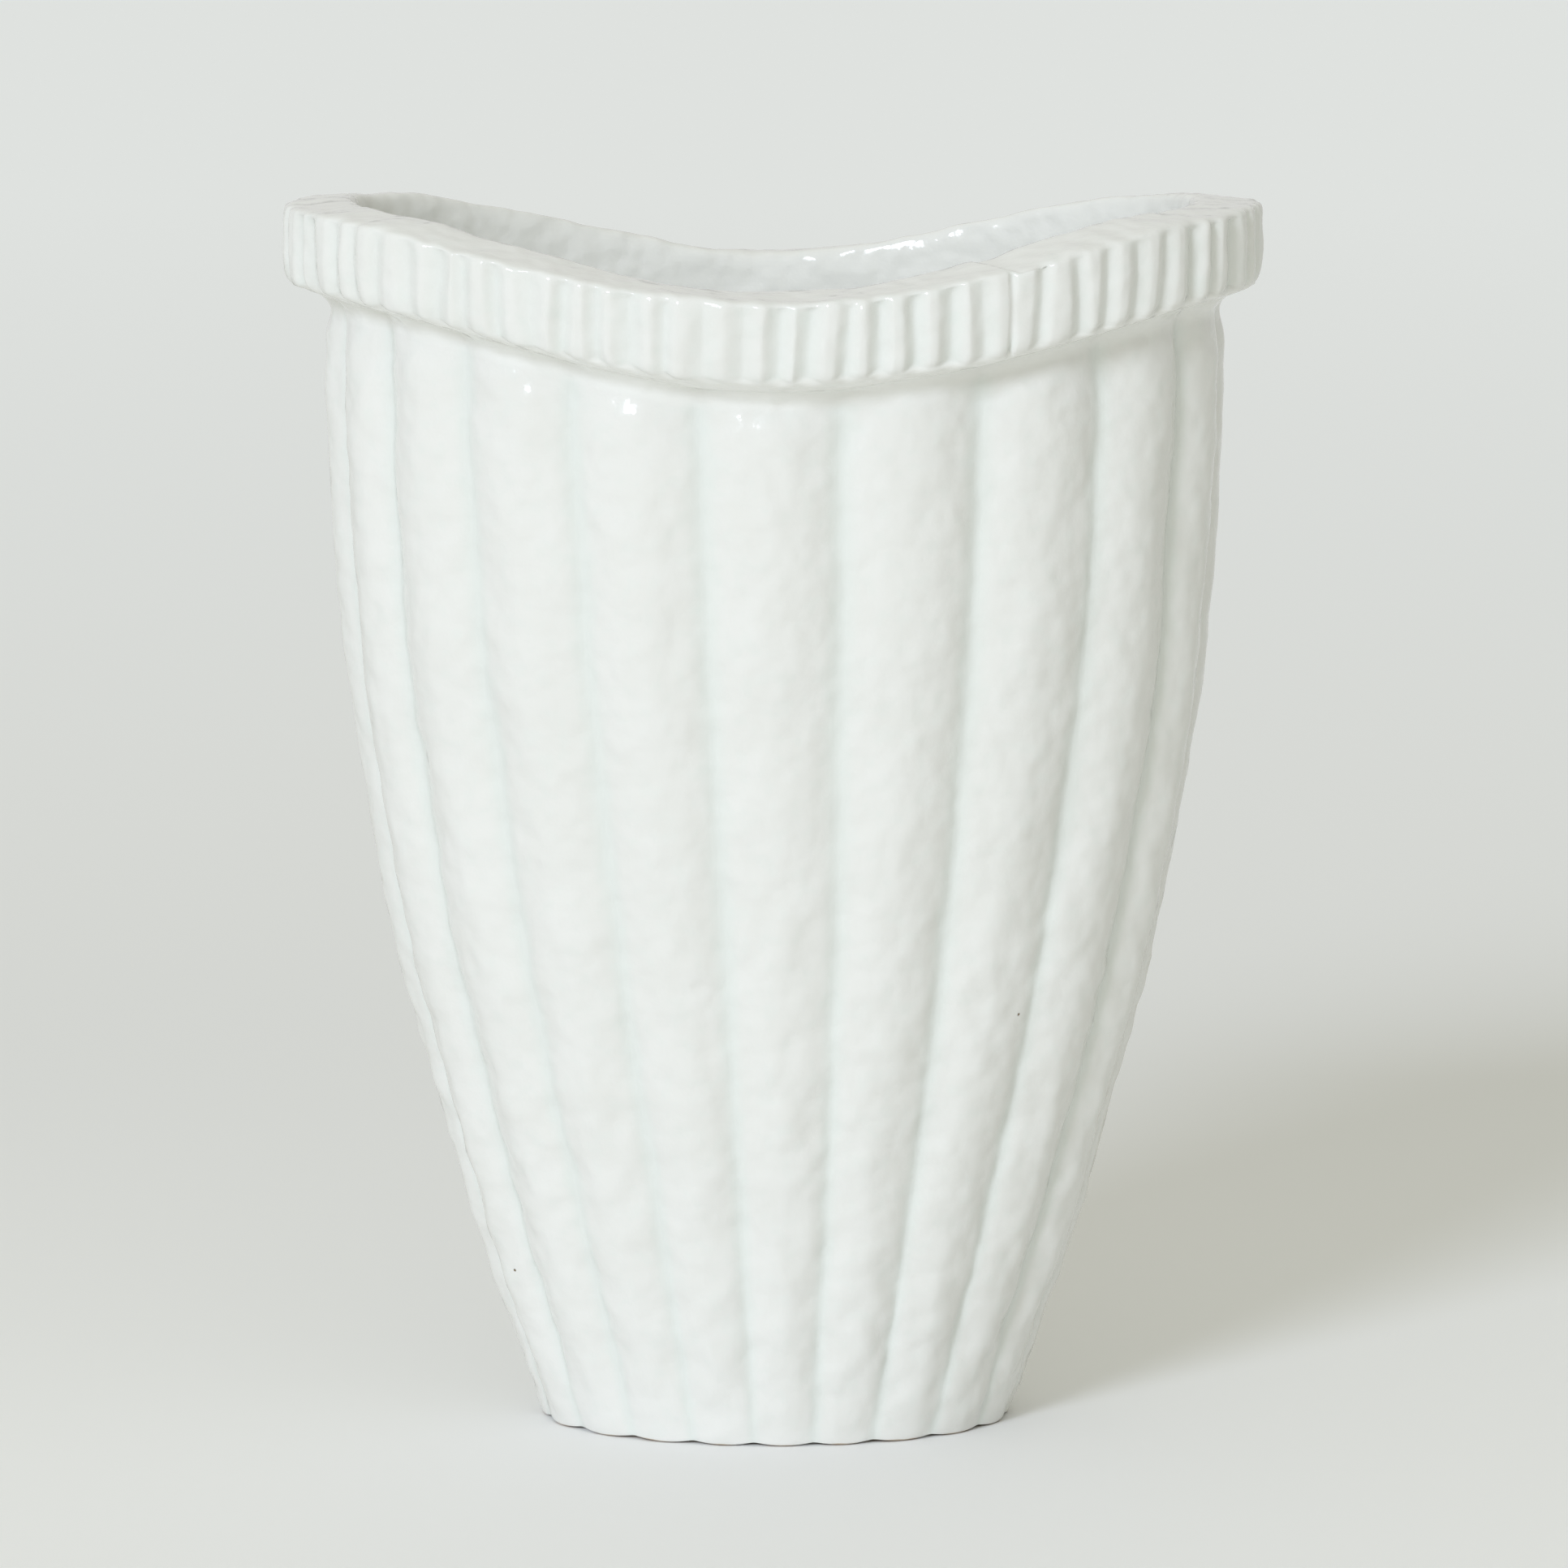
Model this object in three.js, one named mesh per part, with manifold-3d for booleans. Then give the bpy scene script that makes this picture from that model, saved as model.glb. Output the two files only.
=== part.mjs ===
// Oval stoneware vase with a fluted wall: a hollow shell of rounded upright lobes, a floor slab set
// inside its foot, and a thick notched collar on the rim that rises at both ends of the oval.
// Millimetres, +Z up, the long axis along X, the origin at the centre of the foot.

import * as THREE from 'three';
import { mergeVertices } from 'three/addons/utils/BufferGeometryUtils.js';
import Module from 'manifold-3d';

// Wall: outer sizes over the crests of the lobes, and the height where the taper ends
const FOOT_LENGTH = 134;
const FOOT_DEPTH = 90;
const SHOULDER_LENGTH = 255;
const SHOULDER_DEPTH = 162;
const SHOULDER_HEIGHT = 285;
const TAPER_POWER = 1.76;
const WALL = 9.5;
const FOOT_BEVEL = 2;
const FOOT_BEVEL_HEIGHT = 3;

// Lobes of the wall: laid out by eye, so at the top the front and back ones lie a little to one side,
// and towards the foot they draw together at the front and at the back
const LOBE_COUNT = 20;
const LOBE_DEPTH_SHOULDER = 4.8;
const LOBE_DEPTH_FOOT = 3;
const LOBE_DRIFT = THREE.MathUtils.degToRad(2.25);
const LOBE_SHIFT = THREE.MathUtils.degToRad(1.25);
const LOBE_GATHER = THREE.MathUtils.degToRad(6);

// Rim: highest at the two ends, with a dip at the front and back that follows a wave along X
const RIM_HEIGHT = 351;
const RIM_DIP = 21.4;
const RIM_WAVE = 306;

// Cove where the top of the wall flares out under the collar
const COVE_HEIGHT = 6;
const COVE_REACH = 7.5;
const COVE_HOLLOW = 0.12;

// Collar on the rim
const COLLAR_HEIGHT = 23;
const COLLAR_OVERHANG = 10.5;
const COLLAR_TOP_FALL = 1.3;
const COLLAR_ROUND = 2.5;
const NOTCH_COUNT = 74;
const NOTCH_DEPTH = 2;
const COLLAR_JOINT_NOTCH = 7;
const COLLAR_JOINT_WIDTH = 0.4;

// Floor slab and the joints where clay meets clay
const FLOOR_THICKNESS = 10;
const FOOT_RECESS = 4;
const JOINT_GAP = 0.3;

// Fineness of the faceted surfaces
const COLUMNS_PER_LOBE = 6;
const COLUMNS_PER_NOTCH = 4;
const FLOOR_COLUMNS = 80;
const OUTER_ROWS = 11;
const INNER_ROWS = 6;
const MERGE_DISTANCE = 1e-3;

// Half the length and depth of the mouth, and of the collar's outer edge
const BORE = { x: SHOULDER_LENGTH / 2 - WALL, y: SHOULDER_DEPTH / 2 - WALL };
const COLLAR_WIDTH = WALL + COLLAR_OVERHANG;
const RIM = { x: BORE.x + COLLAR_WIDTH, y: BORE.y + COLLAR_WIDTH };
const LOWEST_SEAT = RIM_HEIGHT - RIM_DIP - COLLAR_HEIGHT;
const FLOOR_TOP = FOOT_RECESS + FLOOR_THICKNESS;

const glaze = (color, roughness) => new THREE.MeshStandardMaterial({ color, roughness, metalness: 0 });

// Half of the wall's outer size at height z, between its foot and its shoulder.
function wallHalf(z, foot, shoulder) {
  const below = Math.max(0, 1 - z / SHOULDER_HEIGHT);
  return (shoulder - (shoulder - foot) * below ** TAPER_POWER) / 2;
}

// Height of the wall's top edge, which carries the collar, at angle t round the oval from the front.
function seatHeight(t) {
  const dip = RIM_DIP * Math.cos(Math.PI * RIM.x * Math.sin(t) / RIM_WAVE) ** 2;
  return RIM_HEIGHT - COLLAR_HEIGHT - dip;
}

// Point at angle t on an oval of the given half sizes.
const ovalPoint = (halfX, halfY, t, z) => new THREE.Vector3(halfX * Math.sin(t), -halfY * Math.cos(t), z);

// The same shape with one vertex at each corner.
function merged(geometry) {
  geometry.deleteAttribute('normal');
  geometry.deleteAttribute('uv');
  return mergeVertices(geometry, MERGE_DISTANCE);
}

// A turned ring or disc, pressed into shape: place moves each point of the turned section,
// given as its radius and height, to where it lies at that turn.
function pressed(section, columns, place) {
  const turned = section.map(([radius, height]) => new THREE.Vector2(radius, height));
  const geometry = new THREE.LatheGeometry(turned, columns);
  const points = geometry.attributes.position;
  for (let i = 0; i < points.count; i++) {
    const radius = Math.hypot(points.getX(i), points.getZ(i));
    const turn = Math.atan2(points.getX(i), points.getZ(i));
    points.setXYZ(i, ...place(radius, turn, points.getY(i)));
  }
  return merged(geometry);
}

// Evenly spaced values, both ends included.
function steps(from, to, count) {
  return Array.from({ length: count + 1 }, (_, i) => THREE.MathUtils.lerp(from, to, i / count));
}

// Cutting one closed shape out of another

const wasm = await Module();
wasm.setup();

function solid(geometry) {
  const vertProperties = geometry.attributes.position.array;
  const triVerts = Uint32Array.from(geometry.index.array);
  return new wasm.Manifold(new wasm.Mesh({ numProp: 3, vertProperties, triVerts }));
}

function cutAway(shape, cutter) {
  const mesh = solid(shape).subtract(solid(cutter)).getMesh();
  const geometry = new THREE.BufferGeometry();
  geometry.setAttribute('position', new THREE.BufferAttribute(mesh.vertProperties, 3));
  geometry.setIndex(new THREE.BufferAttribute(mesh.triVerts, 1));
  return geometry;
}

// Fluted wall

// Each lobe is a shallow arch: 0 in the valleys on either side of it and 1 on its crest.
function lobeRise(turn) {
  const across = THREE.MathUtils.euclideanModulo(turn * LOBE_COUNT / (2 * Math.PI) + 0.5, 1);
  return 1 - (2 * across - 1) ** 2;
}

// The lobes are full on the wall's outer face, and fade through its thickness and up the cove.
const lobeShare = (out) => out > WALL ? 1 - (out - WALL) / COVE_REACH : out / WALL;

function wallPoint(radius, turn, height) {
  const share = height / LOWEST_SEAT;
  const drift = LOBE_DRIFT * share * Math.cos(2 * turn);
  const gather = LOBE_GATHER * (1 - share) * Math.sin(2 * turn);
  const t = turn + LOBE_SHIFT - drift - gather;
  const z = share * seatHeight(t);
  const out = radius - BORE.x;
  const lobeDepth = THREE.MathUtils.lerp(LOBE_DEPTH_FOOT, LOBE_DEPTH_SHOULDER, share);
  const valley = lobeDepth * (1 - lobeRise(turn)) * lobeShare(out);
  const inward = WALL - out + valley;
  const halfX = wallHalf(z, FOOT_LENGTH, SHOULDER_LENGTH) - inward;
  const halfY = wallHalf(z, FOOT_DEPTH, SHOULDER_DEPTH) - inward;
  return ovalPoint(halfX, halfY, t, z);
}

function flutedWall() {
  const outer = BORE.x + WALL;
  const coveFoot = LOWEST_SEAT - COVE_HEIGHT;
  const outside = steps(FOOT_BEVEL_HEIGHT, coveFoot, OUTER_ROWS).map((height) => [outer, height]);
  const cove = [
    [outer + COVE_REACH * (0.5 - COVE_HOLLOW), coveFoot + COVE_HEIGHT / 2],
    [outer + COVE_REACH, LOWEST_SEAT],
  ];
  const inside = steps(LOWEST_SEAT, FLOOR_TOP, INNER_ROWS).map((height) => [BORE.x, height]);
  const foot = [outer - FOOT_BEVEL, 0];
  const section = [foot, ...outside, ...cove, ...inside, [BORE.x, 0], foot];
  const shell = pressed(section, LOBE_COUNT * COLUMNS_PER_LOBE, wallPoint);
  const wall = new THREE.Mesh(shell, glaze('#e6e9e5', 0.2));
  wall.name = 'fluted_wall';
  return wall;
}

// Base slab

function slabPoint(radius, turn, z) {
  const inward = WALL + JOINT_GAP;
  const share = radius / BORE.x;
  const halfX = share * (wallHalf(z, FOOT_LENGTH, SHOULDER_LENGTH) - inward);
  const halfY = share * (wallHalf(z, FOOT_DEPTH, SHOULDER_DEPTH) - inward);
  return ovalPoint(halfX, halfY, turn, z);
}

function baseSlab() {
  const section = [[0, FOOT_RECESS], [BORE.x, FOOT_RECESS], [BORE.x, FLOOR_TOP], [0, FLOOR_TOP]];
  const disc = pressed(section, FLOOR_COLUMNS, slabPoint);
  const slab = new THREE.Mesh(disc, glaze('#dfe2dc', 0.3));
  slab.name = 'base_slab';
  return slab;
}

// Rim collar

// Angles round the oval that are evenly spaced along the collar's outer edge, from the front.
const rimEdge = new THREE.EllipseCurve(0, 0, RIM.x, RIM.y);
rimEdge.arcLengthDivisions = 1000;
function evenTurn(turn) {
  const share = THREE.MathUtils.euclideanModulo(turn / (2 * Math.PI) - 0.25, 1);
  return 2 * Math.PI * rimEdge.getUtoTmapping(share) + Math.PI / 2;
}

// Notches are grooves with a rounded rib between each two: 1 in the middle of a groove, 0 on a rib.
const notchCut = (turn) => Math.max(0, Math.cos(turn * NOTCH_COUNT));

function collarPoint(radius, turn, height) {
  const t = evenTurn(turn);
  const out = radius - BORE.x;
  const isOuterFace = out > COLLAR_WIDTH - COLLAR_ROUND - NOTCH_DEPTH;
  const notch = isOuterFace ? NOTCH_DEPTH * notchCut(turn) : 0;
  const z = seatHeight(t) + height;
  return ovalPoint(BORE.x + out - notch, BORE.y + out - notch, t, z);
}

// A thin upright cutter, twice the collar's size, that parts the strip's ends in the middle of one groove.
function jointCutter() {
  const t = evenTurn(COLLAR_JOINT_NOTCH * 2 * Math.PI / NOTCH_COUNT);
  const cutter = new THREE.BoxGeometry(COLLAR_JOINT_WIDTH, 2 * COLLAR_WIDTH, 2 * COLLAR_HEIGHT);
  const across = new THREE.Vector2(Math.sin(t) / RIM.x, Math.cos(t) / RIM.y);
  cutter.rotateZ(Math.atan2(across.x, across.y));
  const middle = COLLAR_WIDTH / 2;
  const centre = ovalPoint(BORE.x + middle, BORE.y + middle, t, seatHeight(t) + COLLAR_HEIGHT / 2);
  cutter.translate(...centre);
  return merged(cutter);
}

function rimCollar() {
  const outer = BORE.x + COLLAR_WIDTH;
  const outerTop = COLLAR_HEIGHT - COLLAR_TOP_FALL;
  const lip = COLLAR_ROUND * (1 - Math.SQRT1_2);
  const section = [
    [BORE.x, JOINT_GAP],
    [outer - COLLAR_ROUND, JOINT_GAP],
    [outer - lip, JOINT_GAP + lip],
    [outer, JOINT_GAP + COLLAR_ROUND],
    [outer, outerTop - COLLAR_ROUND],
    [outer - lip, outerTop - lip],
    [outer - COLLAR_ROUND, outerTop],
    [BORE.x + COLLAR_ROUND, COLLAR_HEIGHT],
    [BORE.x, COLLAR_HEIGHT - COLLAR_ROUND],
    [BORE.x, JOINT_GAP],
  ];
  const ring = pressed(section, NOTCH_COUNT * COLUMNS_PER_NOTCH, collarPoint);
  const collar = new THREE.Mesh(cutAway(ring, jointCutter()), glaze('#e9ece8', 0.2));
  collar.name = 'rim_collar';
  return collar;
}

const vase = new THREE.Group();
vase.name = 'fluted_oval_vase';
vase.add(flutedWall(), baseSlab(), rimCollar());

export default vase;
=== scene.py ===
# %% [markdown]
# # A fluted oval vase in white stoneware
# The real vase is heavy clay built up by hand: a fluted wall, a floor slab inside its foot, and a thick
# strip laid on the rim as a notched collar, all under one glossy white glaze. It could be sculpted
# freely, but a cage that is extruded ring by ring keeps every size readable. So each member starts as a
# circle of vertices, is drawn out into a cage, rounded by a subdivision, and then pressed and hammered
# by displacements, which stand for the potter's fingers.

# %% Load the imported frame
import math
import random

import bpy
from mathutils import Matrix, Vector, noise


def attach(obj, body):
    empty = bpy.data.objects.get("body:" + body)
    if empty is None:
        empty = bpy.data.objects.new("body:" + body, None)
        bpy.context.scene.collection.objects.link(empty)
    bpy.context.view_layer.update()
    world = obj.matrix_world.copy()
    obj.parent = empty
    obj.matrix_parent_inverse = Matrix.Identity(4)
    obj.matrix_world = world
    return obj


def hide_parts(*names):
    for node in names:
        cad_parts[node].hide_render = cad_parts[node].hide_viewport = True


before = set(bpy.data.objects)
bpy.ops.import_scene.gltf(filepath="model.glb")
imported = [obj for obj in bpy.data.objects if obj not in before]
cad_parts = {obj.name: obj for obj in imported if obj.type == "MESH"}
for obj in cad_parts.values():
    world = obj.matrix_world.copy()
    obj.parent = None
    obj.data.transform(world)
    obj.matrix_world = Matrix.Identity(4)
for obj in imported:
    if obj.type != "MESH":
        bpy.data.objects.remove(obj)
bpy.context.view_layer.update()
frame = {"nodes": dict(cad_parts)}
scene = bpy.context.scene
scene.view_settings.view_transform = "Standard"
print("CAD nodes:", ", ".join(frame["nodes"]))

# %% [markdown]
# ## Camera
# A long lens stands a little over two metres away and looks slightly down, so the mouth shows as a thin
# crescent and the sides hardly converge. The place and the tilt were found from the ellipses of the rim
# and the foot, so no shift is needed.

# %% Camera
CAMERA_PLACE = (0.0023, -2.287, 0.520)
CAMERA_TILT = math.radians(8.38)
CAMERA_LENS = 186

bpy.ops.object.select_all(action="DESELECT")
bpy.ops.object.camera_add(location=CAMERA_PLACE, rotation=(math.pi / 2 - CAMERA_TILT, 0, 0))
camera = bpy.context.object
camera.data.lens = CAMERA_LENS
camera.data.sensor_width = 36
scene.camera = camera
print("Camera", camera.name, "lens", camera.data.lens)

# %% [markdown]
# ## Floor and light
# The vase stands on pale seamless paper in an evenly lit room. A very large plane does for the paper,
# because a curved backdrop would hide the vase from behind. Its colour runs from white in front through
# a band of painted shade behind the vase to a cool white far back, painting in how the light on a real
# sweep falls off and returns. One soft lamp from the front left gives the lobes their shade and the glaze
# its highlights.
# The world lights the rest a little warmer, as walls and ceiling would, with little light from the left
# and least from the right. To the camera and to reflections it shows as bright as the paper.

# %% Node helpers
def feed(tree, socket, value):
    """Links another node's socket to this one, or sets a plain value on it."""
    if isinstance(value, bpy.types.NodeSocket):
        tree.links.new(value, socket)
    else:
        socket.default_value = value


def add_node(tree, kind, **inputs):
    """Adds a node and feeds its inputs by name, with _ for a space."""
    node = tree.nodes.new(kind)
    for name, value in inputs.items():
        feed(tree, node.inputs[name.replace("_", " ")], value)
    return node


def maths(tree, operation, *values):
    """A Math node on numbers or sockets, and its result."""
    node = tree.nodes.new("ShaderNodeMath")
    node.operation = operation
    for socket, value in zip(node.inputs, values):
        feed(tree, socket, value)
    return node.outputs[0]


def ramp(tree, value, low, high, kind="SMOOTHSTEP"):
    """A mask that goes from 0 at low to 1 at high. Low may be the larger of the two."""
    node = add_node(tree, "ShaderNodeMapRange", Value=value, From_Min=low, From_Max=high)
    node.interpolation_type = kind
    return node.outputs["Result"]


def blend(tree, share, first, second):
    """Mixes two colours."""
    node = tree.nodes.new("ShaderNodeMix")
    node.data_type = "RGBA"
    for socket, value in zip((node.inputs[0], node.inputs[6], node.inputs[7]), (share, first, second)):
        feed(tree, socket, value)
    return node.outputs[2]


def grey(value, tint=(1, 1, 1)):
    """A grey with a tint, as a colour with alpha."""
    return (*(value * channel for channel in tint), 1)


def new_material(name):
    """An empty node material, its tree and its surface shader."""
    material = bpy.data.materials.new(name)
    material.use_nodes = True
    tree = material.node_tree
    return material, tree, tree.nodes["Principled BSDF"]


# %% Paper floor
PAPER_SIZE = 40
PAPER_FRONT = grey(0.99)
PAPER_SHADE = grey(0.82, (0.995, 1.0, 1.01))
PAPER_BACK = grey(0.975, (0.985, 1.0, 1.025))
PAPER_CLOUD = 0.12
AHEAD_RANGE = (0.91, -0.55)
BEHIND_RANGE = (0.46, 4.7)
RETURN_POWER = 0.55
SHADE_SOFT = 0.3
COOLING = (0.2, 2.5)

bpy.ops.object.select_all(action="DESELECT")
bpy.ops.mesh.primitive_plane_add(size=PAPER_SIZE)
floor = bpy.context.object
floor.name = "paper_floor"
paper, tree, shader = new_material("pale_paper")
place = add_node(tree, "ShaderNodeTexCoord").outputs["Object"]
depth = add_node(tree, "ShaderNodeSeparateXYZ", Vector=place).outputs["Y"]
cloud = add_node(tree, "ShaderNodeTexNoise", Vector=place, Scale=1.3, Detail=2.0).outputs["Fac"]
depth = maths(tree, "MULTIPLY_ADD", cloud, PAPER_CLOUD, depth)
ahead = ramp(tree, depth, *AHEAD_RANGE, "LINEAR")
behind = maths(tree, "POWER", ramp(tree, depth, *BEHIND_RANGE, "LINEAR"), RETURN_POWER)
# Painted shade: the paper is darkened in a band behind the vase and grows bright again far back.
bright = maths(tree, "SMOOTH_MAX", ahead, behind, SHADE_SOFT)
paper_colour = blend(tree, ramp(tree, depth, *COOLING), PAPER_FRONT, PAPER_BACK)
tree.links.new(blend(tree, bright, PAPER_SHADE, paper_colour), shader.inputs["Base Color"])
shader.inputs["Roughness"].default_value = 0.9
shader.inputs["Specular IOR Level"].default_value = 0.1
floor.data.materials.append(paper)
print("Floor", floor.name, PAPER_SIZE, "m across")

# %% Lamp and world
LAMP_LEFT = math.radians(28)
LAMP_HEIGHT = math.radians(25)
LAMP_STRENGTH = 1.32
LAMP_WIDTH = math.radians(17)
LAMP_COLOUR = (0.93, 1.0, 1.16)
ROOM_STRENGTH = 0.757
ROOM_LEFT = 0.22
ROOM_RIGHT = 0.06
ROOM_BLEND = 0.4
ROOM_TINT = (1.0, 1.0, 0.885)
ROOM_SEEN = grey(0.7)

to_lamp = Vector((
    -math.sin(LAMP_LEFT) * math.cos(LAMP_HEIGHT),
    -math.cos(LAMP_LEFT) * math.cos(LAMP_HEIGHT),
    math.sin(LAMP_HEIGHT),
))
bpy.ops.object.select_all(action="DESELECT")
facing = to_lamp.to_track_quat("Z", "Y").to_euler()
bpy.ops.object.light_add(type="SUN", location=2 * to_lamp, rotation=facing)
lamp = bpy.context.object
lamp.name = "soft_lamp"
lamp.data.energy = LAMP_STRENGTH
lamp.data.angle = LAMP_WIDTH
lamp.data.color = LAMP_COLOUR

world = scene.world or bpy.data.worlds.new("room")
scene.world = world
world.use_nodes = True
tree = world.node_tree
room = tree.nodes["Background"]
rays = add_node(tree, "ShaderNodeLightPath").outputs
seen = maths(tree, "MAXIMUM", rays["Is Camera Ray"], rays["Is Glossy Ray"])
seen = maths(tree, "MAXIMUM", seen, rays["Is Transmission Ray"])
across = add_node(tree, "ShaderNodeTexCoord").outputs["Generated"]
across = add_node(tree, "ShaderNodeSeparateXYZ", Vector=across).outputs["X"]
to_side = maths(tree, "POWER", maths(tree, "ABSOLUTE", across), 2.0)
left_light, right_light = grey(ROOM_LEFT, ROOM_TINT), grey(ROOM_RIGHT, ROOM_TINT)
side_light = blend(tree, ramp(tree, across, -ROOM_BLEND, ROOM_BLEND), left_light, right_light)
room_light = blend(tree, to_side, grey(ROOM_STRENGTH, ROOM_TINT), side_light)
room_colour = blend(tree, seen, room_light, ROOM_SEEN)
tree.links.new(room_colour, room.inputs["Color"])
print("Lamp at", round(math.degrees(LAMP_LEFT)), "degrees left and", round(math.degrees(LAMP_HEIGHT)), "up")

# %% [markdown]
# ## The oval and the rim line
# Every member follows the same plan: an oval that grows from the foot to the shoulder along a power
# curve, and a rim that rises at both ends of the oval. The sizes repeat those of the CAD model, in
# metres, so that each visible piece sits where its solid is.

# %% Sizes and curves
FOOT_SIZE = (0.134, 0.090)
SHOULDER_SIZE = (0.255, 0.162)
SHOULDER_HEIGHT = 0.285
TAPER_POWER = 1.76
WALL = 0.0095
RIM_DIP = 0.0214
RIM_WAVE = 0.306
SEAT_HEIGHT = 0.3066
BORE_HALF = tuple(size / 2 - WALL for size in SHOULDER_SIZE)
COLLAR_WIDTH = 0.020
COLLAR_HEIGHT = 0.023
RIM_HALF = tuple(half + COLLAR_WIDTH for half in BORE_HALF)


def wall_half(z):
    """Half the length and half the depth of the wall, over its lobes, at height z."""
    below = max(0.0, 1 - z / SHOULDER_HEIGHT) ** TAPER_POWER
    return [(top - (top - foot) * below) / 2 for foot, top in zip(FOOT_SIZE, SHOULDER_SIZE)]


def rim_rise(t):
    """How far the rim at angle t from the front lies above its lowest point."""
    return RIM_DIP * math.sin(math.pi * RIM_HALF[0] * math.sin(t) / RIM_WAVE) ** 2


def smooth(value, low, high):
    """0 below low, 1 above high and an even S between them."""
    share = min(1.0, max(0.0, (value - low) / (high - low)))
    return share * share * (3 - 2 * share)


def between(first, second, share):
    """The value at this share of the way from first to second."""
    return first + (second - first) * share


def near_seat(z, start, end):
    """Rises from 0, at start below the collar's seat, to 1, at end below it."""
    return smooth(z, SEAT_HEIGHT - start, SEAT_HEIGHT - end)


print("Mouth in mm:", [round(2000 * half) for half in BORE_HALF])
print("Rim in mm:", [round(2000 * half) for half in RIM_HALF])

# %% [markdown]
# ## Tools for clay
# Three helpers do what a modeller does again and again. One draws a ring of vertices through a list of
# oval sections by extrude and scale. One paints a vertex group, here by a rule instead of a brush. One
# pushes the painted vertices with a Displace modifier and applies it. A push along the normal presses
# the clay in or out, and a push along Z lifts it.

# %% Ring, paint and push
def draw_rings(name, columns, rings, solid=False):
    """Extrudes an oval through rings of (half length, half depth, height) and leaves edit mode.
    A solid starts as a filled oval and keeps both end faces. Else the last ring is joined to the first,
    and ring number i of the cage holds the vertices from i * columns on."""
    fill = "NGON" if solid else "NOTHING"
    bpy.ops.object.select_all(action="DESELECT")
    bpy.ops.mesh.primitive_circle_add(vertices=columns, radius=1, fill_type=fill, enter_editmode=True)
    piece = bpy.context.object
    piece.name = name
    piece.data.name = name
    half_x, half_y, z = rings[0]
    bpy.ops.mesh.select_all(action="SELECT")
    bpy.ops.transform.resize(value=(half_x, half_y, 1), center_override=(0, 0, 0))
    bpy.ops.transform.translate(value=(0, 0, z))
    for next_x, next_y, next_z in rings[1:]:
        bpy.ops.mesh.extrude_region_move(TRANSFORM_OT_translate={"value": (0, 0, next_z - z)})
        scale = (next_x / half_x, next_y / half_y, 1)
        bpy.ops.transform.resize(value=scale, center_override=(0, 0, next_z))
        half_x, half_y, z = next_x, next_y, next_z
    if not solid:
        bpy.ops.mesh.select_all(action="DESELECT")
        bpy.ops.mesh.select_mode(type="EDGE")
        bpy.ops.mesh.select_non_manifold()
        bpy.ops.mesh.bridge_edge_loops()
    bpy.ops.mesh.select_all(action="SELECT")
    bpy.ops.mesh.normals_make_consistent(inside=False)
    bpy.ops.object.mode_set(mode="OBJECT")
    return piece


def paint(piece, name, weights):
    """A vertex group with one weight from 0 to 1 for each vertex."""
    group = piece.vertex_groups.new(name=name)
    for index, weight in enumerate(weights):
        if weight > 0:
            group.add([index], min(weight, 1.0), "REPLACE")


def painted(piece, name):
    """The weights of a vertex group, one for each vertex."""
    number = piece.vertex_groups[name].index
    return [next((g.weight for g in v.groups if g.group == number), 0.0) for v in piece.data.vertices]


def push(piece, group, distance, direction="NORMAL", texture=None):
    """Moves the painted vertices by distance. A texture moves them both ways about its middle grey."""
    modifier = piece.modifiers.new(group, "DISPLACE")
    modifier.vertex_group = group
    modifier.strength = distance
    modifier.mid_level = 0.5 if texture else 0
    modifier.direction = direction
    modifier.texture = texture
    modifier.texture_coords = "LOCAL"
    bpy.ops.object.modifier_apply(modifier=group)


def round_off(piece, levels):
    """Rounds the cage with a subdivision surface, and applies it."""
    modifier = piece.modifiers.new("round_off", "SUBSURF")
    modifier.levels = levels
    modifier.render_levels = levels
    bpy.ops.object.modifier_apply(modifier=modifier.name)
    bpy.ops.object.shade_smooth()


def lumps(name, size, depth=1):
    """A soft cloud texture with lumps of about this size in metres."""
    texture = bpy.data.textures.new(name, "CLOUDS")
    texture.noise_scale = size
    texture.noise_depth = depth
    return texture


def store(piece, name, values):
    """Keeps one number for each vertex as an attribute that a material can read."""
    attribute = piece.data.attributes.new(name, "FLOAT", "POINT")
    attribute.data.foreach_set("value", values)


def tell(piece):
    """Prints what a finished piece measures."""
    piece.data.calc_loop_triangles()
    corners = [piece.matrix_world @ v.co for v in piece.data.vertices]
    size = [round(1000 * (max(c[i] for c in corners) - min(c[i] for c in corners)), 1) for i in range(3)]
    print(piece.name, "size in mm", size, "triangles", len(piece.data.loop_triangles))


# %% [markdown]
# ## Wall, first as a smooth oval
# The wall is a tall shell about nine millimetres thick that stands on a narrow ring. It could be an
# outer form given a thickness by Solidify, but drawing the outside, the top and the inside as one closed
# run of rings lets the rows lie close where detail shows and wide apart inside. Near the top the wall
# draws in and then flares out into the collar, because wet clay was smoothed into the corner there. The
# outside and the places that get painted light, the corner under the collar, the top and the inside, are
# painted on the cage, and the subdivision spreads that paint over the fine mesh.

# %% Wall cage
WALL_COLUMNS = 128
FOOT_ROUND = 0.004
OUTER_SPANS = 25
NECK_START = 0.022
WALL_TOP = 0.003
LIT_NECK_RINGS = 5
TOP_INWARD = (-0.004, WALL - 0.002)
FOOT_LINE = [(WALL, 0.0), (0.005, 0.0), (0.0007, 0.0), (0.0001, 0.0003), (0.0, 0.0012)]
NECK_LINE_MM = [
    (15.0, 0.15), (12.0, 0.75), (9.4, 1.45), (7.4, 1.45), (5.8, 0.6), (4.5, -0.6), (3.3, -1.9), (2.1, -3.3),
]
INNER_HEIGHTS = (SEAT_HEIGHT, SEAT_HEIGHT - 0.012, 0.235, 0.165, 0.095, 0.030, 0.012)


def wall_ring(z, inward=0.0):
    """A ring of the wall at height z, this far inside the line over the lobes."""
    half_x, half_y = wall_half(z)
    return half_x - inward, half_y - inward, z


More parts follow.
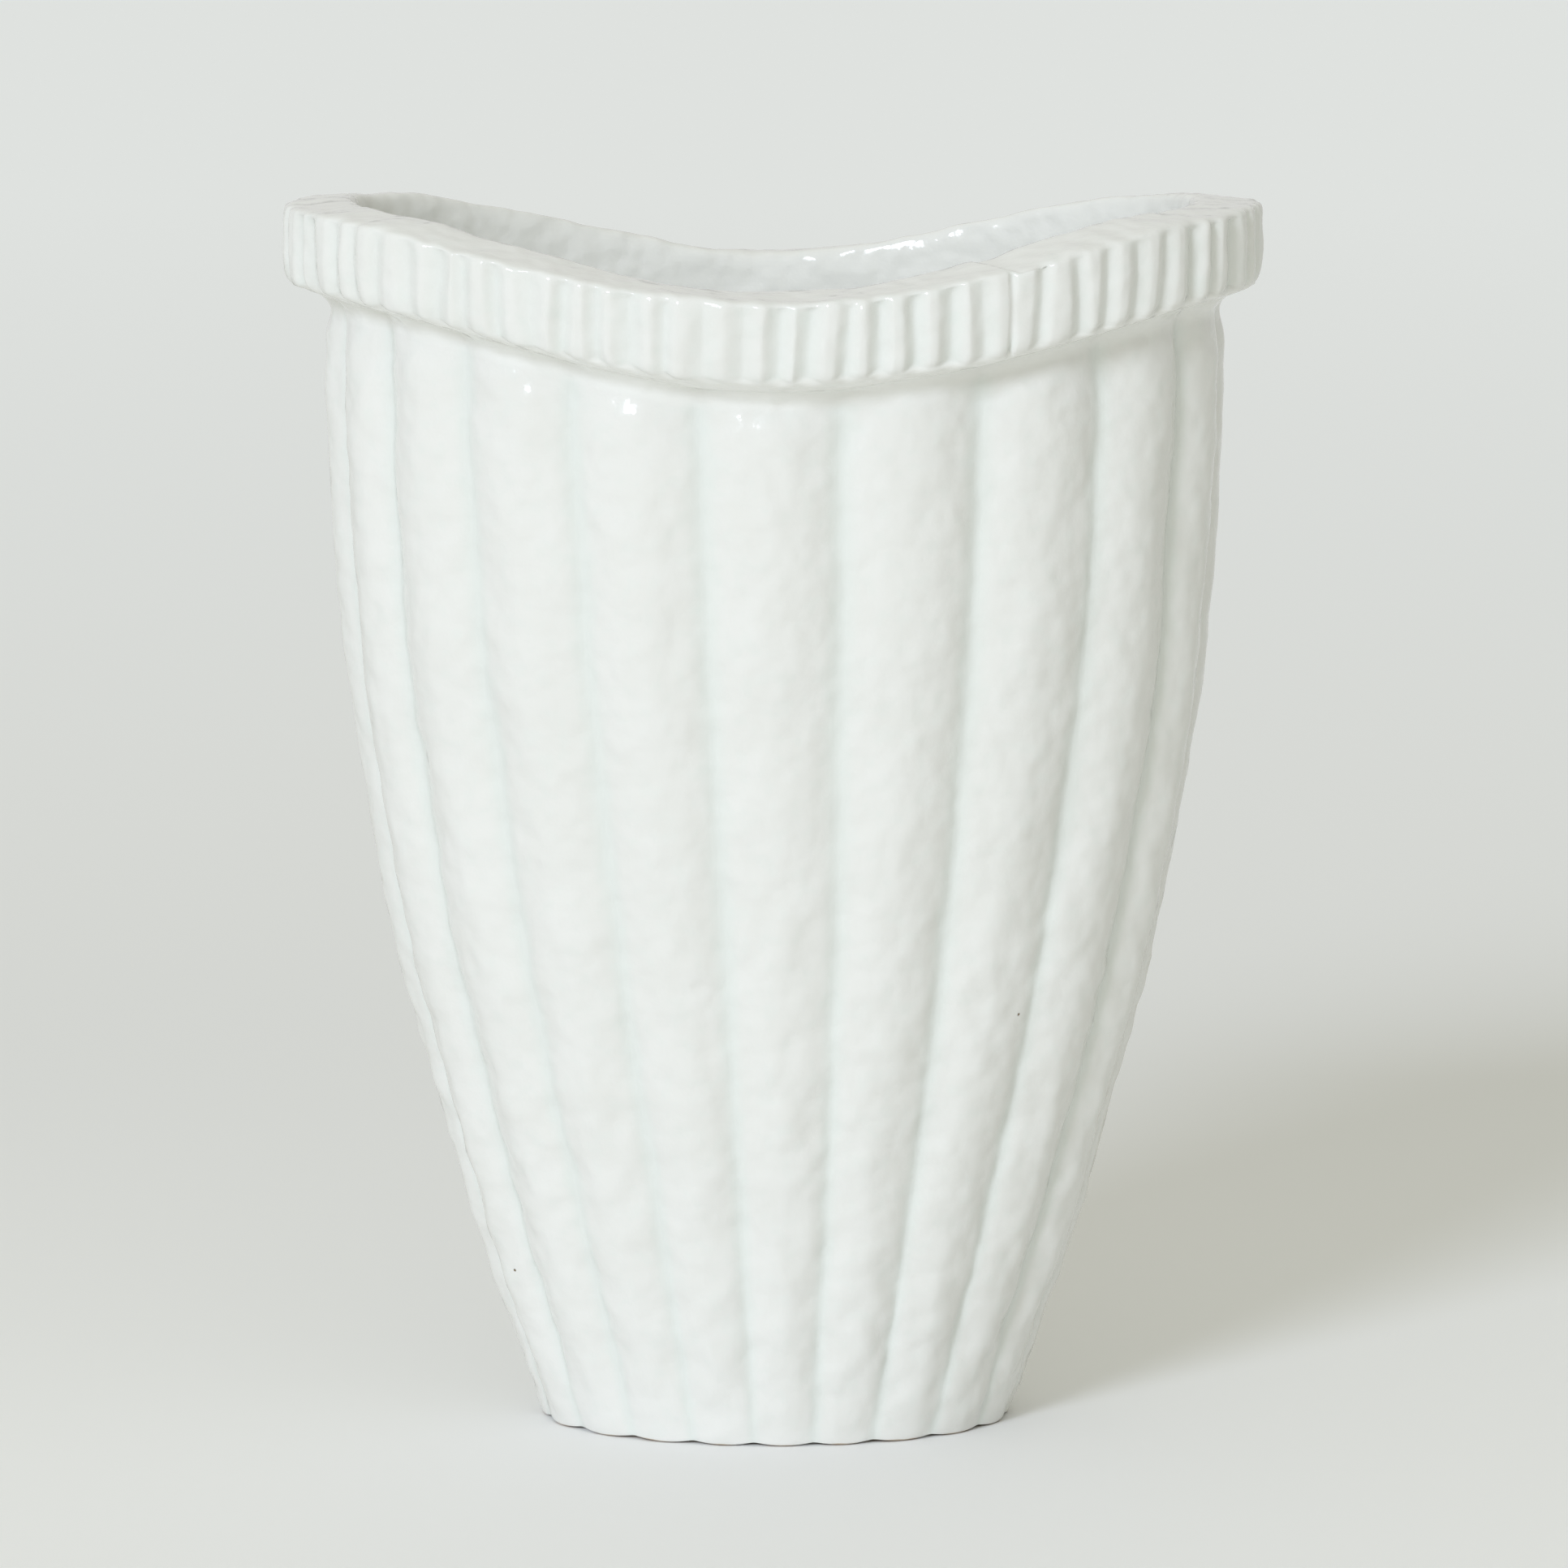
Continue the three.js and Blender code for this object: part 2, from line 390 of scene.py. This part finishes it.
foot_rings = [wall_ring(z, inward) for inward, z in FOOT_LINE]
outer_rise = SEAT_HEIGHT - NECK_START - FOOT_ROUND
outer_rings = [wall_ring(FOOT_ROUND + outer_rise * i / OUTER_SPANS) for i in range(OUTER_SPANS + 1)]
neck_rings = [wall_ring(SEAT_HEIGHT - drop / 1000, inward / 1000) for drop, inward in NECK_LINE_MM]
top_rings = [wall_ring(SEAT_HEIGHT + WALL_TOP, inward) for inward in TOP_INWARD]
inner_rings = [wall_ring(z, WALL) for z in INNER_HEIGHTS]
wall_rings = foot_rings + outer_rings + neck_rings + top_rings + inner_rings
wall = draw_rings("glazed_wall", WALL_COLUMNS, wall_rings)
first_outer, last_outer = 2, len(foot_rings + outer_rings + neck_rings) - 1
rings_of = [v.index // WALL_COLUMNS for v in wall.data.vertices]
paint(wall, "outside", [1.0 if first_outer <= ring <= last_outer else 0.0 for ring in rings_of])
# The corner under the collar, the top and the inside are painted for a lighter glaze: painted light against
# the shade there.
lit_from = last_outer + 1 - LIT_NECK_RINGS
paint(wall, "painted_light_rings", [1.0 if ring >= lit_from else 0.0 for ring in rings_of])
round_off(wall, 2)
print("Wall cage of", len(wall_rings), "rings, fine mesh of", len(wall.data.vertices), "vertices")

# %% [markdown]
# ## Lobes
# Twenty rounded lobes run up the wall, with a narrow valley between each two. The potter pressed the
# valleys by hand, so they wander by a millimetre, and each is a little deeper or shallower than the
# next. They could be drawn into the cage, but then every ring would need its own shape. Painting the
# valleys and pushing them in along the normal keeps the oval and the lobes apart.

# %% Valleys between the lobes
LOBE_COUNT = 20
LOBE_DEPTH = (0.003, 0.0048)
LOBE_DRIFT = math.radians(2.25)
LOBE_SHIFT = (math.radians(2.0), math.radians(1.25))
LOBE_GATHER = math.radians(5.2)
VALLEY_ROUND = (0.03, 0.014)
VALLEY_AT_FOOT = 0.35
VALLEY_AT_NECK = 0.5
VALLEY_FULL = 0.03
VALLEY_NECK = (0.015, 0.005)
VALLEY_END = (0.006, 0.001)
PRESS_RANGE = (0.85, 1.12)
VALLEY_WANDER = 0.028
WANDER_LENGTH = 0.024
WANDER_APART = 7.3
POOL_REACH = 0.16
potter = random.Random(7)
valley_press = [potter.uniform(*PRESS_RANGE) for _ in range(LOBE_COUNT)]


def oval_angle(co):
    """Angle round the oval from the front towards +X."""
    half_x, half_y = wall_half(co.z)
    return math.atan2(co.x / half_x, -co.y / half_y)


def valley_at(co):
    """Distance to the nearest valley in lobe widths, and that valley's number."""
    up = co.z / SEAT_HEIGHT
    start = oval_angle(co) - between(*LOBE_SHIFT, up)
    turn = start
    for _ in range(3):
        turn = start + LOBE_DRIFT * up * math.cos(2 * turn) + LOBE_GATHER * (1 - up) * math.sin(2 * turn)
    lobes = turn * LOBE_COUNT / (2 * math.pi) + 0.5
    nearest = round(lobes)
    wander = noise.noise(Vector((nearest * WANDER_APART, 0.0, co.z / WANDER_LENGTH)))
    return abs(lobes + VALLEY_WANDER * wander - nearest), nearest % LOBE_COUNT


def valley_depth(co):
    """Depth of the pressed valley here, in metres."""
    away, number = valley_at(co)
    up = co.z / SEAT_HEIGHT
    valley_round = between(*VALLEY_ROUND, up)
    soft = math.hypot(away, valley_round) - valley_round
    depth = between(*LOBE_DEPTH, up)
    depth *= between(VALLEY_AT_FOOT, 1, smooth(co.z, 0.0, VALLEY_FULL))
    depth *= between(1, VALLEY_AT_NECK, near_seat(co.z, *VALLEY_NECK))
    depth *= 1 - near_seat(co.z, *VALLEY_END)
    return valley_press[number] * depth * (1 - 2 * min(soft, 0.5)) ** 2


outside = painted(wall, "outside")
deepest = LOBE_DEPTH[1] * max(valley_press)
valleys = [valley_depth(v.co) / deepest for v in wall.data.vertices]
pooled = [
    mask * smooth(POOL_REACH - valley_at(v.co)[0], 0.0, POOL_REACH)
    for v, mask in zip(wall.data.vertices, outside)
]
paint(wall, "valleys", [depth * mask for depth, mask in zip(valleys, outside)])
push(wall, "valleys", -deepest)
store(wall, "glaze_pool", pooled)
# The mask of painted light goes to the material as an attribute.
store(wall, "painted_light_share", painted(wall, "painted_light_rings"))
print("Valleys up to", round(1000 * deepest, 1), "mm deep")

# %% [markdown]
# ## Saddle and hammered clay
# The top of the wall rises at both ends to carry the collar, so the upper part is stretched upwards by
# a weight that starts at two thirds of the height. Then the clay gets its hand-made surface: slow waves
# from pressing, and small hammered lumps that make the highlights break into dots. Real displacement is
# used and not only a bump map, because the lumps show in the outline.

# %% Lift and hammer the wall
SADDLE_START = 0.20
FOOT_CALM = 0.012
WAVE_SIZE = 0.045
WAVE_DEPTH = 0.0022
WAVE_AT_NECK = 0.2
WAVE_END = (0.03, 0.012)
LUMP_SIZE = 0.0078
LUMP_DEPTH = 0.0014
LUMPS_INSIDE = 0.3
LUMPS_HIGH_UP = 0.65
HIGH_UP = (0.08, 0.2)
LUMPS_AT_NECK = 0.1
LUMP_END = (0.008, 0.003)

foot_fade = [smooth(v.co.z, 0.0, FOOT_CALM) for v in wall.data.vertices]
neck_fade = [1 - near_seat(v.co.z, *LUMP_END) for v in wall.data.vertices]
paint(wall, "saddle", [
    rim_rise(oval_angle(v.co)) / RIM_DIP * smooth(v.co.z, SADDLE_START, SEAT_HEIGHT)
    for v in wall.data.vertices
])
push(wall, "saddle", RIM_DIP, "Z")

paint(wall, "waves", [
    foot * between(1, WAVE_AT_NECK, near_seat(v.co.z, *WAVE_END))
    for v, foot in zip(wall.data.vertices, foot_fade)
])
push(wall, "waves", WAVE_DEPTH, texture=lumps("pressed_waves", WAVE_SIZE))
paint(wall, "lumps", [
    foot * between(LUMPS_INSIDE, 1, mask) * between(1, LUMPS_HIGH_UP, smooth(v.co.z, *HIGH_UP))
    * between(LUMPS_AT_NECK, 1, neck)
    for v, foot, neck, mask in zip(wall.data.vertices, foot_fade, neck_fade, outside)
])
push(wall, "lumps", LUMP_DEPTH, texture=lumps("hammered_lumps", LUMP_SIZE, 0))
tell(wall)

# %% [markdown]
# ## Collar
# The collar is a thick strip of clay laid on the wall's top edge, overhanging it all round, and cut with
# upright notches. Its section is drawn as a closed run of rings, as the wall was: a sloping underside, a
# crisp lower lip, an upright face and a nearly flat top. The inner face runs down over the wall and thins
# out there, as a thumb smears it to close the joint. The face, the top, the lower edge and all that
# stands free of the wall are painted as groups of rings, so that each can be pushed by itself.

# %% Collar cage
COLLAR_COLUMNS = 740
COLLAR_SECTION_MM = [
    (1.5, -4.7), (4.0, -4.6), (7.0, -4.3), (10.0, -3.7), (12.5, -2.9), (14.5, -2.1), (16.2, -1.4),
    (17.6, -0.8), (18.8, 0.0), (19.6, 1.3), (20.0, 3.6), (20.2, 8.5), (20.2, 13.0), (20.2, 17.5),
    (20.15, 20.2), (19.6, 21.5), (18.2, 22.0), (13.0, 22.3), (7.0, 22.8), (2.4, 23.0), (0.6, 22.2),
    (-0.1, 20.0), (-0.25, 14.0), (-0.35, 7.0), (-0.3, 2.0), (-0.15, -3.0), (0.03, -8.0), (0.25, -12.0),
]
NOTCHED_RINGS = {7: 0.4, 8: 0.85, 9: 1, 10: 1, 11: 1, 12: 1, 13: 1, 14: 0.85, 15: 0.45}
LOWER_RINGS = {3: 0.5, 4: 0.8, 5: 1, 6: 1, 7: 1, 8: 1, 9: 0.95, 10: 0.8, 11: 0.4}
TOP_RINGS = range(15, 21)
FACE_AND_TOP_RINGS = range(8, 21)
FREE_RINGS = {**{ring: 1 for ring in FACE_AND_TOP_RINGS}, 21: 0.75, 22: 0.5, 23: 0.25, 24: 0.08}

collar_rings = [
    (BORE_HALF[0] + out / 1000, BORE_HALF[1] + out / 1000, SEAT_HEIGHT + up / 1000)
    for out, up in COLLAR_SECTION_MM
]
collar = draw_rings("notched_collar", COLLAR_COLUMNS, collar_rings)
rings_of = [v.index // COLLAR_COLUMNS for v in collar.data.vertices]
paint(collar, "outer_face", [NOTCHED_RINGS.get(ring, 0.0) for ring in rings_of])
paint(collar, "lower_edge", [LOWER_RINGS.get(ring, 0.0) for ring in rings_of])
paint(collar, "top_face", [1.0 if ring in TOP_RINGS else 0.0 for ring in rings_of])
paint(collar, "free_edge", [FREE_RINGS.get(ring, 0.0) for ring in rings_of])
# The underside and the inner face are painted for a lighter glaze: painted light against the shade there.
paint(collar, "painted_light_rings", [0.0 if ring in FACE_AND_TOP_RINGS else 1.0 for ring in rings_of])
round_off(collar, 1)
print("Collar cage of", len(collar_rings), "rings, fine mesh of", len(collar.data.vertices), "vertices")

# %% [markdown]
# ## Notches
# Some seventy notches are cut by eye with a tool, evenly along the collar's edge but never equal: each
# has its own place, width, depth and lean, and those left of the front are a little lighter. Places,
# widths and leans are counted in notches along the edge. One notch is a narrow slit, where the two ends of
# the strip meet. Its middle is filled with glaze, and the notches past it stand closer to it. A long list
# of cutters for a Boolean would make sharp, equal grooves, so the notches are painted and pushed as the
# valleys were, and the ribs between them keep a rounded crown.

# %% Notch layout
NOTCH_COUNT = 74
NOTCH_DEPTH = 0.0018
NOTCH_POOL = 0.7
NOTCH_HALF_WIDTH = 0.45
NOTCH_START = 0.1
PLACE_SPREAD = 0.13
WIDTH_RANGE = (0.75, 1.3)
DEPTH_RANGE = (0.62, 1.1)
LEAN_SPREAD = 0.18
LIGHT_FROM = 57
LIGHT_DEPTH = 0.85
RIB_CROWN = 0.0004
JOINT_NOTCH = 7
CROWDING = 0.28
CROWDING_FADE = (10, 16)
ARC_STEPS = 2000
cutter = random.Random(20)


def rim_arc():
    """Share of the rim's length from the front, at even steps of the angle."""
    step = 2 * math.pi / ARC_STEPS
    lengths = [0.0]
    for i in range(ARC_STEPS):
        t = (i + 0.5) * step
        lengths.append(lengths[-1] + math.hypot(RIM_HALF[0] * math.cos(t), RIM_HALF[1] * math.sin(t)))
    return [length / lengths[-1] for length in lengths]


def crowded(number):
    """How far the notches just past the joint are squeezed towards it."""
    return CROWDING * (1 - smooth(number, *CROWDING_FADE)) if number >= JOINT_NOTCH else 0.0


arc = rim_arc()
notches = [
    {
        "place": number + NOTCH_START + cutter.uniform(-PLACE_SPREAD, PLACE_SPREAD) - crowded(number),
        "width": NOTCH_HALF_WIDTH * cutter.uniform(*WIDTH_RANGE),
        "depth": cutter.uniform(*DEPTH_RANGE) * (1.0 if number < LIGHT_FROM else LIGHT_DEPTH),
        "lean": cutter.uniform(-LEAN_SPREAD, LEAN_SPREAD),
        "filled": 0.0,
    }
    for number in range(NOTCH_COUNT)
]
notches[JOINT_NOTCH].update(place=JOINT_NOTCH - 0.18, width=0.14, depth=0.75, lean=0.0, filled=0.8)
print("Notches about", round(1000 * math.pi * sum(RIM_HALF) / NOTCH_COUNT, 1), "mm apart")


# %% Cut the notches
def collar_angle(co):
    """Angle round the collar from the front towards +X."""
    return math.atan2(co.x / RIM_HALF[0], -co.y / RIM_HALF[1])


def notch_number(t):
    """Place along the rim, counted in notches from the front."""
    steps = (t / (2 * math.pi) % 1.0) * ARC_STEPS
    index = min(int(steps), ARC_STEPS - 1)
    return between(arc[index], arc[index + 1], steps - index) * NOTCH_COUNT


def notch_cut(co):
    """Depth of the notch here as a share of NOTCH_DEPTH, and the fall of the rib's crown."""
    place = notch_number(collar_angle(co))
    up = (co.z - SEAT_HEIGHT) / COLLAR_HEIGHT - 0.5
    before = math.floor(place)
    centres = []
    cut = 0.0
    for number in (before - 1, before, before + 1, before + 2):
        notch = notches[number % NOTCH_COUNT]
        centre = number - number % NOTCH_COUNT + notch["place"] + notch["lean"] * up
        centres.append(centre)
        away = (place - centre) / notch["width"]
        if abs(away) < 1:
            fade = 1 - notch["filled"] * (1 - 4 * up * up)
            cut = max(cut, notch["depth"] * fade * (1 - away * away) ** 2)
    left = max(c for c in centres if c <= place)
    right = min(c for c in centres if c > place)
    across = 2 * (place - left) / (right - left) - 1
    return cut, across * across


outer_face = painted(collar, "outer_face")
cuts = [notch_cut(v.co) for v in collar.data.vertices]
deepest_notch = NOTCH_DEPTH * DEPTH_RANGE[1] + RIB_CROWN
paint(collar, "notches", [
    mask * (cut * NOTCH_DEPTH + crown * RIB_CROWN) / deepest_notch
    for mask, (cut, crown) in zip(outer_face, cuts)
])
push(collar, "notches", -deepest_notch)
store(collar, "glaze_pool", [
    NOTCH_POOL * mask * min(cut, 1.0) for mask, (cut, _) in zip(outer_face, cuts)
])
# The mask of painted light goes to the material as an attribute.
store(collar, "painted_light_share", painted(collar, "painted_light_rings"))
print("Deepest notch", round(1000 * deepest_notch, 1), "mm")

# %% [markdown]
# ## A strip laid by hand
# The collar is lifted along the same rim line as the wall. But a strip laid by hand is never true: it
# steps down and sags past its joint, it lies a millimetre to the left, and its top and edge waver. All of
# this could be sculpted, but one painted push for each fault can be changed by itself later.

# %% Lift and hammer the collar
JOINT_STEP = 0.0012
STEP_START = (0.0, 0.3)
STEP_END = (0.5, 2.5)
SAG = 0.0016
SAG_START = (-4.0, 0.0)
SAG_END = (2.0, 8.0)
TOP_WAVE = 0.0016
TOP_WAVE_SIZE = 0.03
OFF_CENTRE = 0.001
EDGE_WAVE = 0.0018
EDGE_WAVE_SIZE = 0.026
COLLAR_LUMP = 0.0009
COLLAR_LUMP_SIZE = 0.009

paint(collar, "saddle", [rim_rise(collar_angle(v.co)) / RIM_DIP for v in collar.data.vertices])
push(collar, "saddle", RIM_DIP, "Z")
top_face = painted(collar, "top_face")
joint_place = notches[JOINT_NOTCH]["place"]
past_joint = [notch_number(collar_angle(v.co)) - joint_place for v in collar.data.vertices]
paint(collar, "joint_step", [
    mask * smooth(past, *STEP_START) * (1 - smooth(past, *STEP_END))
    for mask, past in zip(top_face, past_joint)
])
push(collar, "joint_step", -JOINT_STEP, "Z")
paint(collar, "sag", [
    mask * smooth(past, *SAG_START) * (1 - smooth(past, *SAG_END))
    for mask, past in zip(painted(collar, "lower_edge"), past_joint)
])
push(collar, "sag", -SAG, "Z")
paint(collar, "uneven_top", top_face)
push(collar, "uneven_top", TOP_WAVE, "Z", lumps("uneven_top", TOP_WAVE_SIZE))
paint(collar, "off_centre", painted(collar, "free_edge"))
push(collar, "off_centre", -OFF_CENTRE, "X")
paint(collar, "wavy_edge", painted(collar, "free_edge"))
push(collar, "wavy_edge", EDGE_WAVE, texture=lumps("wavy_edge", EDGE_WAVE_SIZE))
paint(collar, "lumps", painted(collar, "free_edge"))
push(collar, "lumps", COLLAR_LUMP, texture=lumps("collar_lumps", COLLAR_LUMP_SIZE))
tell(collar)

# %% [markdown]
# ## Floor slab
# A flat oval slab closes the vase just above the table. It is seen from above as the glazed bottom of
# the hollow, and from below as bare clay inside the foot ring. A filled circle is drawn out through a
# few rings, so its upper edge can rise softly where clay was smeared against the wall.

# %% Slab
SLAB_COLUMNS = 96
SLAB_EDGE = 0.0088
SLAB_BOTTOM = 0.004
SLAB_MIDDLE = 0.008
SLAB_TOP = 0.014
SMEAR_LINE = [(1.0, 0.0022), (0.985, 0.0016), (0.93, 0.0003)]
SLAB_WAVE = 0.0009
SLAB_WAVE_SIZE = 0.02


def slab_ring(share, z):
    """A ring of the slab, as a share of its full size."""
    half_x, half_y = wall_half(z)
    return share * (half_x - SLAB_EDGE), share * (half_y - SLAB_EDGE), z


slab_rings = [slab_ring(share, SLAB_BOTTOM) for share in (0.05, 0.35, 0.7, 0.95, 1.0)]
slab_rings.append(slab_ring(1.0, SLAB_MIDDLE))
slab_rings += [slab_ring(share, SLAB_TOP + rise) for share, rise in SMEAR_LINE]
slab_rings += [slab_ring(share, SLAB_TOP) for share in (0.85, 0.6, 0.3, 0.05)]
slab = draw_rings("floor_slab", SLAB_COLUMNS, slab_rings, solid=True)
round_off(slab, 1)
paint(slab, "uneven", [1.0] * len(slab.data.vertices))
push(slab, "uneven", SLAB_WAVE, "Z", lumps("uneven_floor", SLAB_WAVE_SIZE))
tell(slab)

# %% [markdown]
# ## Glaze
# The glaze is a glossy, slightly blue-green white. It runs thin on the crests and pools in the valleys
# and notches. In the hollow and in the corner under the collar it is painted a lighter white, as painted
# light against the shade that falls there. It carries faint clouds and flecks, a few pinholes where grog
# burst through and a few shallow dents, and its skin ripples. All three members wear it, so it is one node
# group with a mask each for pooled glaze, painted light and bare clay, and each material sets its own
# shader.

# %% Glaze node group
GLAZE_THIN = grey(0.84, (1.0, 1.0, 0.965))
GLAZE_CLOUD = grey(0.825, (1.0, 1.0, 0.96))
GLAZE_POOLED = grey(0.825, (0.965, 1.0, 0.955))
# The white below is painted light: a lighter glaze for the shaded hollow and the corner under the collar.
GLAZE_PAINTED_LIGHT = grey(0.89, (0.995, 1.0, 0.965))
CLAY_BARE = (0.50, 0.40, 0.29, 1)
PINHOLE_CLAY = (0.22, 0.15, 0.07, 1)
CLOUD_EDGE = (0.35, 0.65)
FLECK_EDGE = (0.5, 0.72)
FLECK_POOL = 0.32
PINHOLE_EDGE = (0.022, 0.010)
PINHOLE_LUCK = (0.62, 0.64)
PINHOLE_HEIGHT = -2.0
DENT_EDGE = (0.16, 0.0)
DENT_LUCK = (0.42, 0.38)
DENT_HEIGHT = -0.6
SKIN_HEIGHT = 0.04
LEAST_ROUGH = 0.07
ROUGH_CLOUD = 0.10
BARE_ROUGH = 0.85

coat = bpy.data.node_groups.new("white_glaze", "ShaderNodeTree")
for name in ("Pool", "PaintedLight", "Bare"):
    coat.interface.new_socket(name, in_out="INPUT", socket_type="NodeSocketFloat")
coat.interface.new_socket("Color", in_out="OUTPUT", socket_type="NodeSocketColor")
coat.interface.new_socket("Roughness", in_out="OUTPUT", socket_type="NodeSocketFloat")
coat.interface.new_socket("Height", in_out="OUTPUT", socket_type="NodeSocketFloat")
given = coat.nodes.new("NodeGroupInput").outputs
result = coat.nodes.new("NodeGroupOutput").inputs
place = add_node(coat, "ShaderNodeTexCoord").outputs["Object"]

clouds = add_node(coat, "ShaderNodeTexNoise", Vector=place, Scale=55.0, Detail=3.0).outputs["Fac"]
colour = blend(coat, ramp(coat, clouds, *CLOUD_EDGE), GLAZE_THIN, GLAZE_CLOUD)
flecks = add_node(coat, "ShaderNodeTexNoise", Vector=place, Scale=210.0, Detail=1.0).outputs["Fac"]
pool = maths(coat, "MULTIPLY_ADD", ramp(coat, flecks, *FLECK_EDGE), FLECK_POOL, given["Pool"])
colour = blend(coat, maths(coat, "MINIMUM", pool, 1.0), colour, GLAZE_POOLED)
# Painted light: the glaze is made lighter where the hollow and the corner under the collar lie in shade.
colour = blend(coat, given["PaintedLight"], colour, GLAZE_PAINTED_LIGHT)

cells = add_node(coat, "ShaderNodeTexVoronoi", Vector=place, Scale=42.0)
luck = add_node(coat, "ShaderNodeSeparateColor", Color=cells.outputs["Color"]).outputs[0]
to_middle = cells.outputs["Distance"]
pinholes = maths(coat, "MULTIPLY", ramp(coat, to_middle, *PINHOLE_EDGE), ramp(coat, luck, *PINHOLE_LUCK))
colour = blend(coat, pinholes, colour, PINHOLE_CLAY)
colour = blend(coat, given["Bare"], colour, CLAY_BARE)
coat.links.new(colour, result["Color"])

gloss = add_node(coat, "ShaderNodeTexNoise", Vector=place, Scale=90.0, Detail=2.0).outputs["Fac"]
gloss = maths(coat, "MULTIPLY_ADD", gloss, ROUGH_CLOUD, LEAST_ROUGH)
gloss = maths(coat, "MAXIMUM", gloss, maths(coat, "MULTIPLY", given["Bare"], BARE_ROUGH))
coat.links.new(gloss, result["Roughness"])

ripple = add_node(coat, "ShaderNodeTexNoise", Vector=place, Scale=190.0, Detail=0.4).outputs["Fac"]
skin = add_node(coat, "ShaderNodeTexNoise", Vector=place, Scale=1100.0, Detail=0.0).outputs["Fac"]
height = maths(coat, "MULTIPLY_ADD", skin, SKIN_HEIGHT, ripple)
dents = maths(coat, "MULTIPLY", ramp(coat, to_middle, *DENT_EDGE), ramp(coat, luck, *DENT_LUCK))
height = maths(coat, "MULTIPLY_ADD", dents, DENT_HEIGHT, height)
height = maths(coat, "MULTIPLY_ADD", pinholes, PINHOLE_HEIGHT, height)
coat.links.new(height, result["Height"])
print("Glaze group with", len(coat.nodes), "nodes")


# %% Glaze materials
GLAZE_IOR = 1.52
BUMP_DISTANCE = 0.001
LINE_WAVER = 0.002
LINE_SOFT = 0.0002


def glazed(name, bare_below=None, ripple=0.6):
    """A glaze over one member. Clay stays bare below a wavering line near the table."""
    material, tree, shader = new_material(name)
    skin = tree.nodes.new("ShaderNodeGroup")
    skin.node_tree = coat
    for socket, attribute in (("Pool", "glaze_pool"), ("PaintedLight", "painted_light_share")):
        stored = tree.nodes.new("ShaderNodeAttribute")
        stored.attribute_name = attribute
        tree.links.new(stored.outputs["Fac"], skin.inputs[socket])
    if bare_below is not None:
        place = add_node(tree, "ShaderNodeTexCoord").outputs["Object"]
        up = add_node(tree, "ShaderNodeSeparateXYZ", Vector=place).outputs["Z"]
        waver = add_node(tree, "ShaderNodeTexNoise", Vector=place, Scale=70.0).outputs["Fac"]
        line = maths(tree, "MULTIPLY_ADD", waver, LINE_WAVER, bare_below)
        bare = ramp(tree, maths(tree, "SUBTRACT", up, line), LINE_SOFT, -LINE_SOFT)
        tree.links.new(bare, skin.inputs["Bare"])
    height = skin.outputs["Height"]
    bump = add_node(tree, "ShaderNodeBump", Strength=ripple, Distance=BUMP_DISTANCE, Height=height)
    tree.links.new(bump.outputs["Normal"], shader.inputs["Normal"])
    tree.links.new(skin.outputs["Color"], shader.inputs["Base Color"])
    tree.links.new(skin.outputs["Roughness"], shader.inputs["Roughness"])
    shader.inputs["IOR"].default_value = GLAZE_IOR
    return material


wall.data.materials.append(glazed("body_glaze", bare_below=-0.0006))
collar.data.materials.append(glazed("collar_glaze", ripple=0.7))
slab.data.materials.append(glazed("floor_glaze", bare_below=0.009))
print("Materials:", [piece.data.materials[0].name for piece in (wall, collar, slab)])

# %% [markdown]
# ## Hand over
# Each piece rides on the vase's one body and stands for its CAD node, whose own mesh is hidden.

# %% Ride and replace
for piece, node, slot in (
    (wall, "fluted_wall", "body_glaze"),
    (collar, "rim_collar", "collar_glaze"),
    (slab, "base_slab", "floor_glaze"),
):
    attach(piece, "root")
    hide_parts(node)
